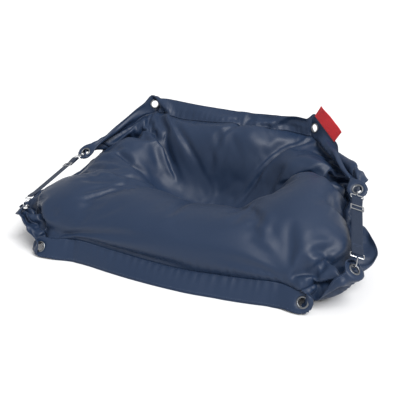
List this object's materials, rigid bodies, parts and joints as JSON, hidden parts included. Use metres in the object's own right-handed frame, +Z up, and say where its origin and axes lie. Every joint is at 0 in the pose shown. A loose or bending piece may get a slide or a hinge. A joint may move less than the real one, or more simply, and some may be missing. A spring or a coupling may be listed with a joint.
{
  "type": "bean bag chair",
  "caption": "Large rectangular bean bag held up as a love-seat by two side straps with wire hooks through eyelets in its wide stitched hem.",
  "frame": {"origin": "on the floor, on the flat underside of the bottom panel, on the object's middle plane", "axes": "+Z up; -Y towards the front, where the sitter's legs go; +X towards the end with the red label, the right as the picture shows it"},
  "size_m": [1.8306, 0.9651, 0.6405],
  "materials": {
    "cover": "satin coated weave",
    "webbing": "matt woven webbing",
    "label": "plain woven satin",
    "steel": "bright plated",
    "beads": "white expanded polystyrene beads"
  },
  "bodies": {
    "bag": {"back_hem": "cover", "bean_filling": "beads", "bottom_panel": "cover", "eyelet_back_left_corner": "steel", "eyelet_back_left_free": "steel", "eyelet_back_right_corner": "steel", "eyelet_back_right_free": "steel", "eyelet_front_left_corner": "steel", "eyelet_front_left_free": "steel", "eyelet_front_right_corner": "steel", "eyelet_front_right_free": "steel", "front_hem": "cover", "label_tab": "label", "left_hem": "cover", "right_hem": "cover", "top_panel": "cover", "washer_back_left_corner": "steel", "washer_back_left_free": "steel", "washer_back_right_corner": "steel", "washer_back_right_free": "steel", "washer_front_left_corner": "steel", "washer_front_left_free": "steel", "washer_front_right_corner": "steel", "washer_front_right_free": "steel", "zip_chain": "webbing", "zip_tape": "webbing"},
    "left_strap": {"left_strap_webbing": "webbing"},
    "right_strap": {"right_strap_webbing": "webbing"},
    "left_lower_hook": {"left_lower_hook": "steel"},
    "left_upper_hook": {"left_upper_hook": "steel"},
    "right_lower_hook": {"right_lower_hook": "steel"},
    "right_upper_hook": {"right_upper_hook": "steel"},
    "left_adjuster": {"left_strap_adjuster": "steel"},
    "right_adjuster": {"right_strap_adjuster": "steel"},
    "zip_slider": {"zip_slider": "steel"}
  },
  "joints": [
    {"name": "left_strap_roll", "type": "hinge", "parent": "bag", "child": "left_strap", "pos_m": [-0.806, -0.385, 0.18], "axis": [0.1919, 0.9068, 0.3754], "range_deg": [-6, 1]},
    {"name": "right_strap_roll", "type": "hinge", "parent": "bag", "child": "right_strap", "pos_m": [0.806, -0.385, 0.18], "axis": [-0.1919, 0.9068, 0.3754], "range_deg": [-1, 6]},
    {"name": "left_lower_hook_swing", "type": "hinge", "parent": "left_strap", "child": "left_lower_hook", "pos_m": [-0.79994, -0.31974, 0.21906], "axis": [0.9138, -0.3258, 0.2425], "range_deg": [-4, 0.5]},
    {"name": "left_upper_hook_swing", "type": "hinge", "parent": "left_strap", "child": "left_upper_hook", "pos_m": [-0.72892, -0.02845, 0.34274], "axis": [0.9138, -0.3258, 0.2425], "range_deg": [-2, 4]},
    {"name": "left_adjuster_slide", "type": "slide", "parent": "left_strap", "child": "left_adjuster", "axis": [0.219, 0.8981, 0.3813], "range_m": [-0.15, 0]},
    {"name": "right_lower_hook_swing", "type": "hinge", "parent": "right_strap", "child": "right_lower_hook", "pos_m": [0.79994, -0.31974, 0.21906], "axis": [0.8877, 0.3456, -0.3042], "range_deg": [-4, 0.5]},
    {"name": "right_upper_hook_swing", "type": "hinge", "parent": "right_strap", "child": "right_upper_hook", "pos_m": [0.72892, -0.02845, 0.34274], "axis": [0.8877, 0.3456, -0.3042], "range_deg": [-2, 4]},
    {"name": "right_adjuster_slide", "type": "slide", "parent": "right_strap", "child": "right_adjuster", "axis": [-0.219, 0.8981, 0.3813], "range_m": [-0.15, 0]},
    {"name": "zip_slider_slide", "type": "slide", "parent": "bag", "child": "zip_slider", "axis": [1, 0, 0], "range_m": [-0.42, 0]}
  ]
}
